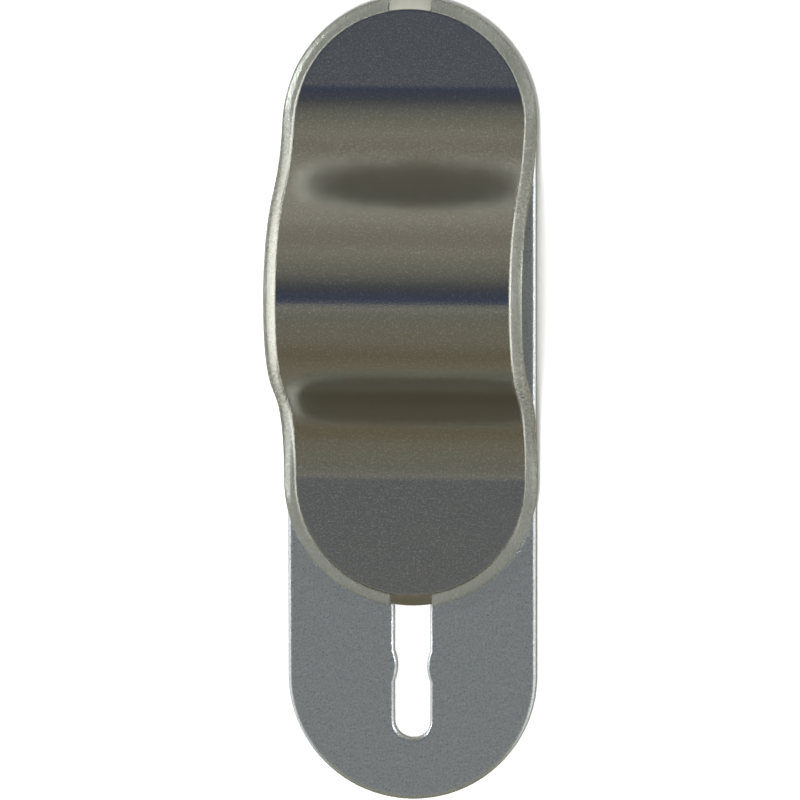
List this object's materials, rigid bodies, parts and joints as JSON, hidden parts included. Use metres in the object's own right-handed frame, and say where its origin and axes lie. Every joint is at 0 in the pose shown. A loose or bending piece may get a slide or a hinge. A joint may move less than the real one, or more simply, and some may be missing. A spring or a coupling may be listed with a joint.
{
  "type": "sliding finger loop grip",
  "caption": "Stick-on grip for a flat back or panel: a steel strip in a plastic carrier, fixed at one end, slides in a slotted steel plate and bows up into a finger loop.",
  "frame": {"origin": "on the surface that the adhesive is stuck to, under the middle of the base plate", "axes": "+Z out of that surface, +Y along the plate towards the strip's fixed end, +X across it"},
  "size_m": [0.0306, 0.0973, 0.0272],
  "materials": {
    "plate_steel": "blasted satin",
    "face_steel": "satin with a fine sparkle",
    "carrier_plastic": "translucent, smooth",
    "adhesive_foam": "matte foam",
    "rivet_steel": "plain",
    "backing_steel": "plain",
    "shoe_plastic": "natural acetal"
  },
  "bodies": {
    "base": {"base_plate": "plate_steel", "adhesive_pad": "adhesive_foam", "anchor_backing_plate": "backing_steel", "anchor_rivet_left": "rivet_steel", "anchor_rivet_right": "rivet_steel", "face_fixed_end": "face_steel", "carrier_fixed_end": "carrier_plastic"},
    "link_01": {"face_link_01": "face_steel", "carrier_link_01": "carrier_plastic"},
    "link_02": {"face_link_02": "face_steel", "carrier_link_02": "carrier_plastic"},
    "link_03": {"face_link_03": "face_steel", "carrier_link_03": "carrier_plastic"},
    "link_04": {"face_link_04": "face_steel", "carrier_link_04": "carrier_plastic"},
    "link_05": {"face_link_05": "face_steel", "carrier_link_05": "carrier_plastic"},
    "link_06": {"face_link_06": "face_steel", "carrier_link_06": "carrier_plastic"},
    "link_07": {"face_link_07": "face_steel", "carrier_link_07": "carrier_plastic"},
    "link_08": {"face_link_08": "face_steel", "carrier_link_08": "carrier_plastic"},
    "link_09": {"face_link_09": "face_steel", "carrier_link_09": "carrier_plastic"},
    "link_10": {"face_link_10": "face_steel", "carrier_link_10": "carrier_plastic"},
    "link_11": {"face_link_11": "face_steel", "carrier_link_11": "carrier_plastic"},
    "link_12": {"face_link_12": "face_steel", "carrier_link_12": "carrier_plastic"},
    "link_13": {"face_link_13": "face_steel", "carrier_link_13": "carrier_plastic"},
    "link_14": {"face_link_14": "face_steel", "carrier_link_14": "carrier_plastic"},
    "link_15": {"face_link_15": "face_steel", "carrier_link_15": "carrier_plastic"},
    "link_16": {"face_link_16": "face_steel", "carrier_link_16": "carrier_plastic"},
    "link_17": {"face_link_17": "face_steel", "carrier_link_17": "carrier_plastic"},
    "link_18": {"face_link_18": "face_steel", "carrier_link_18": "carrier_plastic"},
    "link_19": {"face_link_19": "face_steel", "carrier_link_19": "carrier_plastic"},
    "slider": {"face_slider_end": "face_steel", "carrier_slider_end": "carrier_plastic", "slider_shoe": "shoe_plastic", "slider_backing_plate": "backing_steel", "slider_rivet_lower": "rivet_steel", "slider_rivet_upper": "rivet_steel"}
  },
  "joints": [
    {"name": "bow_hinge_01", "type": "hinge", "parent": "base", "child": "link_01", "pos_m": [0, 0.03641, 0.0036], "axis": [1, 0, 0], "range_deg": [0, 21.41], "stiffness_Nm_per_rad": 0.05},
    {"name": "bow_hinge_02", "type": "hinge", "parent": "link_01", "child": "link_02", "pos_m": [0, 0.03308, 0.00491], "axis": [1, 0, 0], "range_deg": [0, 19.32], "stiffness_Nm_per_rad": 0.05},
    {"name": "bow_hinge_03", "type": "hinge", "parent": "link_02", "child": "link_03", "pos_m": [0, 0.03038, 0.00724], "axis": [1, 0, 0], "range_deg": [0, 15.33], "stiffness_Nm_per_rad": 0.05},
    {"name": "bow_hinge_04", "type": "hinge", "parent": "link_03", "child": "link_04", "pos_m": [0, 0.02838, 0.0102], "axis": [1, 0, 0], "range_deg": [0, 9.84], "stiffness_Nm_per_rad": 0.05},
    {"name": "bow_hinge_05", "type": "hinge", "parent": "link_04", "child": "link_05", "pos_m": [0, 0.02692, 0.01347], "axis": [1, 0, 0], "range_deg": [0, 3.39], "stiffness_Nm_per_rad": 0.05},
    {"name": "bow_hinge_06", "type": "hinge", "parent": "link_05", "child": "link_06", "pos_m": [0, 0.02566, 0.01681], "axis": [1, 0, 0], "range_deg": [-3.39, 0], "stiffness_Nm_per_rad": 0.05},
    {"name": "bow_hinge_07", "type": "hinge", "parent": "link_06", "child": "link_07", "pos_m": [0, 0.0242, 0.02008], "axis": [1, 0, 0], "range_deg": [-9.84, 0], "stiffness_Nm_per_rad": 0.05},
    {"name": "bow_hinge_08", "type": "hinge", "parent": "link_07", "child": "link_08", "pos_m": [0, 0.0222, 0.02304], "axis": [1, 0, 0], "range_deg": [-15.33, 0], "stiffness_Nm_per_rad": 0.05},
    {"name": "bow_hinge_09", "type": "hinge", "parent": "link_08", "child": "link_09", "pos_m": [0, 0.01949, 0.02537], "axis": [1, 0, 0], "range_deg": [-19.32, 0], "stiffness_Nm_per_rad": 0.05},
    {"name": "bow_hinge_10", "type": "hinge", "parent": "link_09", "child": "link_10", "pos_m": [0, 0.01616, 0.02668], "axis": [1, 0, 0], "range_deg": [-21.41, 0], "stiffness_Nm_per_rad": 0.05},
    {"name": "bow_hinge_11", "type": "hinge", "parent": "link_10", "child": "link_11", "pos_m": [0, 0.01259, 0.02668], "axis": [1, 0, 0], "range_deg": [-21.41, 0], "stiffness_Nm_per_rad": 0.05},
    {"name": "bow_hinge_12", "type": "hinge", "parent": "link_11", "child": "link_12", "pos_m": [0, 0.00926, 0.02537], "axis": [1, 0, 0], "range_deg": [-19.32, 0], "stiffness_Nm_per_rad": 0.05},
    {"name": "bow_hinge_13", "type": "hinge", "parent": "link_12", "child": "link_13", "pos_m": [0, 0.00655, 0.02304], "axis": [1, 0, 0], "range_deg": [-15.33, 0], "stiffness_Nm_per_rad": 0.05},
    {"name": "bow_hinge_14", "type": "hinge", "parent": "link_13", "child": "link_14", "pos_m": [0, 0.00456, 0.02008], "axis": [1, 0, 0], "range_deg": [-9.84, 0], "stiffness_Nm_per_rad": 0.05},
    {"name": "bow_hinge_15", "type": "hinge", "parent": "link_14", "child": "link_15", "pos_m": [0, 0.0031, 0.01681], "axis": [1, 0, 0], "range_deg": [-3.39, 0], "stiffness_Nm_per_rad": 0.05},
    {"name": "bow_hinge_16", "type": "hinge", "parent": "link_15", "child": "link_16", "pos_m": [0, 0.00183, 0.01347], "axis": [1, 0, 0], "range_deg": [0, 3.39], "stiffness_Nm_per_rad": 0.05},
    {"name": "bow_hinge_17", "type": "hinge", "parent": "link_16", "child": "link_17", "pos_m": [0, 0.00037, 0.0102], "axis": [1, 0, 0], "range_deg": [0, 9.84], "stiffness_Nm_per_rad": 0.05},
    {"name": "bow_hinge_18", "type": "hinge", "parent": "link_17", "child": "link_18", "pos_m": [0, -0.00162, 0.00724], "axis": [1, 0, 0], "range_deg": [0, 15.33], "stiffness_Nm_per_rad": 0.05},
    {"name": "bow_hinge_19", "type": "hinge", "parent": "link_18", "child": "link_19", "pos_m": [0, -0.00433, 0.00491], "axis": [1, 0, 0], "range_deg": [0, 19.32], "stiffness_Nm_per_rad": 0.05},
    {"name": "bow_hinge_20", "type": "hinge", "parent": "link_19", "child": "slider", "pos_m": [0, -0.00766, 0.0036], "axis": [1, 0, 0], "range_deg": [0, 21.41], "stiffness_Nm_per_rad": 0.05}
  ],
  "couplings": [
    {"joint": "bow_hinge_01", "follows": "bow_hinge_20", "ratio": 1},
    {"joint": "bow_hinge_02", "follows": "bow_hinge_20", "ratio": 0.90211},
    {"joint": "bow_hinge_03", "follows": "bow_hinge_20", "ratio": 0.71592},
    {"joint": "bow_hinge_04", "follows": "bow_hinge_20", "ratio": 0.45965},
    {"joint": "bow_hinge_05", "follows": "bow_hinge_20", "ratio": 0.15838},
    {"joint": "bow_hinge_06", "follows": "bow_hinge_20", "ratio": -0.15838},
    {"joint": "bow_hinge_07", "follows": "bow_hinge_20", "ratio": -0.45965},
    {"joint": "bow_hinge_08", "follows": "bow_hinge_20", "ratio": -0.71592},
    {"joint": "bow_hinge_09", "follows": "bow_hinge_20", "ratio": -0.90211},
    {"joint": "bow_hinge_10", "follows": "bow_hinge_20", "ratio": -1},
    {"joint": "bow_hinge_11", "follows": "bow_hinge_20", "ratio": -1},
    {"joint": "bow_hinge_12", "follows": "bow_hinge_20", "ratio": -0.90211},
    {"joint": "bow_hinge_13", "follows": "bow_hinge_20", "ratio": -0.71592},
    {"joint": "bow_hinge_14", "follows": "bow_hinge_20", "ratio": -0.45965},
    {"joint": "bow_hinge_15", "follows": "bow_hinge_20", "ratio": -0.15838},
    {"joint": "bow_hinge_16", "follows": "bow_hinge_20", "ratio": 0.15838},
    {"joint": "bow_hinge_17", "follows": "bow_hinge_20", "ratio": 0.45965},
    {"joint": "bow_hinge_18", "follows": "bow_hinge_20", "ratio": 0.71592},
    {"joint": "bow_hinge_19", "follows": "bow_hinge_20", "ratio": 0.90211}
  ]
}
